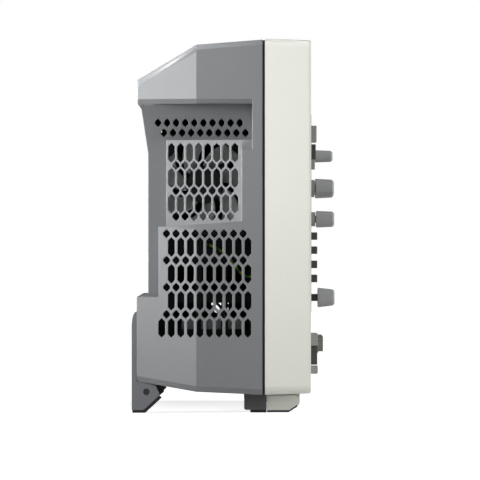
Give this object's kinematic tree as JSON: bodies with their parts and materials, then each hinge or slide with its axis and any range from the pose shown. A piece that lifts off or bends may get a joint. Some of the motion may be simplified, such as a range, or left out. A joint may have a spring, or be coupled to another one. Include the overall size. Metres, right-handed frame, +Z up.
{
  "type": "function generator",
  "caption": "Bench function generator: pale bezel with display, keys, knobs and sockets, grey vented rear housing, flip-out front legs.",
  "frame": {"origin": "bottom centre of the whole instrument's box, on the surface it stands on", "axes": "+Z up, -Y towards the user at the front panel, +X to the right as the user sees it"},
  "size_m": [0.352, 0.1264, 0.225],
  "materials": {
    "bezel_plastic": "satin",
    "case_plastic": "textured",
    "fascia_plastic": "satin",
    "knob_plastic": "satin",
    "dark_key_plastic": "satin",
    "light_key_plastic": "satin",
    "display_glass": "gloss",
    "module_steel": "satin",
    "port_steel": "satin",
    "zinc_steel": "satin",
    "plated_brass": "gloss",
    "heat_sink_aluminium": "satin",
    "circuit_board": "satin",
    "black_plastic": "satin",
    "fan_plastic": "satin",
    "wire_plastic": "gloss",
    "black_rubber": "matte",
    "foot_plastic": "textured",
    "foot_base_plastic": "textured",
    "leg_plastic": "satin"
  },
  "bodies": {
    "case": {"chassis_tray": "port_steel", "connector_plate": "port_steel", "control_fascia": "fascia_plastic", "cross_head_screws": "zinc_steel", "data_ports": "port_steel", "display_lens": "display_glass", "display_module": "module_steel", "earth_wire": "wire_plastic", "fan_frame": "black_plastic", "foot_screws": "zinc_steel", "front_bezel": "bezel_plastic", "front_foot_bases": "foot_base_plastic", "front_foot_pads": "black_rubber", "heat_sink": "heat_sink_aluminium", "key_board": "circuit_board", "knob_encoders": "plated_brass", "left_grip_panel": "case_plastic", "left_lower_vent": "case_plastic", "left_upper_vent": "case_plastic", "leg_hinge_pins": "zinc_steel", "main_board": "circuit_board", "mains_inlet": "black_plastic", "output_sockets": "plated_brass", "power_guard": "light_key_plastic", "power_supply": "port_steel", "rear_foot_brackets": "foot_plastic", "rear_foot_rubbers": "black_rubber", "rear_housing": "case_plastic", "rear_sockets": "plated_brass", "right_grip_panel": "case_plastic", "right_lower_vent": "case_plastic", "right_upper_vent": "case_plastic", "seam_gasket": "black_rubber"},
    "number_key_01": {"number_key_01": "dark_key_plastic"},
    "number_key_02": {"number_key_02": "dark_key_plastic"},
    "number_key_03": {"number_key_03": "dark_key_plastic"},
    "number_key_04": {"number_key_04": "dark_key_plastic"},
    "number_key_05": {"number_key_05": "dark_key_plastic"},
    "number_key_06": {"number_key_06": "dark_key_plastic"},
    "number_key_07": {"number_key_07": "dark_key_plastic"},
    "number_key_08": {"number_key_08": "dark_key_plastic"},
    "number_key_09": {"number_key_09": "dark_key_plastic"},
    "number_key_10": {"number_key_10": "dark_key_plastic"},
    "number_key_11": {"number_key_11": "dark_key_plastic"},
    "number_key_12": {"number_key_12": "dark_key_plastic"},
    "channel_one_key": {"channel_one_key": "light_key_plastic"},
    "channel_two_key": {"channel_two_key": "light_key_plastic"},
    "wave_key": {"wave_key": "dark_key_plastic"},
    "menu_key": {"menu_key": "light_key_plastic"},
    "level_knob": {"level_knob": "knob_plastic"},
    "left_adjust_knob": {"left_adjust_knob": "knob_plastic"},
    "right_adjust_knob": {"right_adjust_knob": "knob_plastic"},
    "offset_knob": {"offset_knob": "knob_plastic"},
    "main_knob": {"main_knob": "knob_plastic"},
    "fan_rotor": {"fan_rotor": "fan_plastic"},
    "power_button": {"power_button": "dark_key_plastic"},
    "left_front_leg": {"left_front_leg": "leg_plastic", "left_leg_sole": "black_rubber"},
    "right_front_leg": {"right_front_leg": "leg_plastic", "right_leg_sole": "black_rubber"}
  },
  "joints": [
    {"name": "number_key_01_press", "type": "slide", "parent": "case", "child": "number_key_01", "axis": [0, 1, 0], "range_m": [0, 0.0012], "stiffness_N_per_m": 700},
    {"name": "number_key_02_press", "type": "slide", "parent": "case", "child": "number_key_02", "axis": [0, 1, 0], "range_m": [0, 0.0012], "stiffness_N_per_m": 700},
    {"name": "number_key_03_press", "type": "slide", "parent": "case", "child": "number_key_03", "axis": [0, 1, 0], "range_m": [0, 0.0012], "stiffness_N_per_m": 700},
    {"name": "number_key_04_press", "type": "slide", "parent": "case", "child": "number_key_04", "axis": [0, 1, 0], "range_m": [0, 0.0012], "stiffness_N_per_m": 700},
    {"name": "number_key_05_press", "type": "slide", "parent": "case", "child": "number_key_05", "axis": [0, 1, 0], "range_m": [0, 0.0012], "stiffness_N_per_m": 700},
    {"name": "number_key_06_press", "type": "slide", "parent": "case", "child": "number_key_06", "axis": [0, 1, 0], "range_m": [0, 0.0012], "stiffness_N_per_m": 700},
    {"name": "number_key_07_press", "type": "slide", "parent": "case", "child": "number_key_07", "axis": [0, 1, 0], "range_m": [0, 0.0012], "stiffness_N_per_m": 700},
    {"name": "number_key_08_press", "type": "slide", "parent": "case", "child": "number_key_08", "axis": [0, 1, 0], "range_m": [0, 0.0012], "stiffness_N_per_m": 700},
    {"name": "number_key_09_press", "type": "slide", "parent": "case", "child": "number_key_09", "axis": [0, 1, 0], "range_m": [0, 0.0012], "stiffness_N_per_m": 700},
    {"name": "number_key_10_press", "type": "slide", "parent": "case", "child": "number_key_10", "axis": [0, 1, 0], "range_m": [0, 0.0012], "stiffness_N_per_m": 700},
    {"name": "number_key_11_press", "type": "slide", "parent": "case", "child": "number_key_11", "axis": [0, 1, 0], "range_m": [0, 0.0012], "stiffness_N_per_m": 700},
    {"name": "number_key_12_press", "type": "slide", "parent": "case", "child": "number_key_12", "axis": [0, 1, 0], "range_m": [0, 0.0012], "stiffness_N_per_m": 700},
    {"name": "channel_one_key_press", "type": "slide", "parent": "case", "child": "channel_one_key", "axis": [0, 1, 0], "range_m": [0, 0.0012], "stiffness_N_per_m": 700},
    {"name": "channel_two_key_press", "type": "slide", "parent": "case", "child": "channel_two_key", "axis": [0, 1, 0], "range_m": [0, 0.0012], "stiffness_N_per_m": 700},
    {"name": "wave_key_press", "type": "slide", "parent": "case", "child": "wave_key", "axis": [0, 1, 0], "range_m": [0, 0.0012], "stiffness_N_per_m": 700},
    {"name": "menu_key_press", "type": "slide", "parent": "case", "child": "menu_key", "axis": [0, 1, 0], "range_m": [0, 0.0012], "stiffness_N_per_m": 700},
    {"name": "power_button_press", "type": "slide", "parent": "case", "child": "power_button", "axis": [0, 1, 0], "range_m": [0, 0.002], "stiffness_N_per_m": 600},
    {"name": "level_knob_turn", "type": "hinge", "parent": "case", "child": "level_knob", "pos_m": [0.142, -0.05035, 0.158], "axis": [0, -1, 0], "continuous": true},
    {"name": "left_adjust_knob_turn", "type": "hinge", "parent": "case", "child": "left_adjust_knob", "pos_m": [0.092, -0.05035, 0.1372], "axis": [0, -1, 0], "continuous": true},
    {"name": "right_adjust_knob_turn", "type": "hinge", "parent": "case", "child": "right_adjust_knob", "pos_m": [0.138, -0.05035, 0.1372], "axis": [0, -1, 0], "continuous": true},
    {"name": "offset_knob_turn", "type": "hinge", "parent": "case", "child": "offset_knob", "pos_m": [0.076, -0.05035, 0.1173], "axis": [0, -1, 0], "continuous": true},
    {"name": "main_knob_turn", "type": "hinge", "parent": "case", "child": "main_knob", "pos_m": [0.152, -0.05215, 0.067], "axis": [0, -1, 0], "continuous": true},
    {"name": "fan_spin", "type": "hinge", "parent": "case", "child": "fan_rotor", "pos_m": [-0.1385, 0.01885, 0.1375], "axis": [1, 0, 0], "continuous": true},
    {"name": "left_leg_fold", "type": "hinge", "parent": "case", "child": "left_front_leg", "pos_m": [-0.14, -0.03495, 0.0065], "axis": [-1, 0, 0], "range_deg": [0, 85]},
    {"name": "right_leg_fold", "type": "hinge", "parent": "case", "child": "right_front_leg", "pos_m": [0.14, -0.03495, 0.0065], "axis": [-1, 0, 0], "range_deg": [0, 85]}
  ]
}
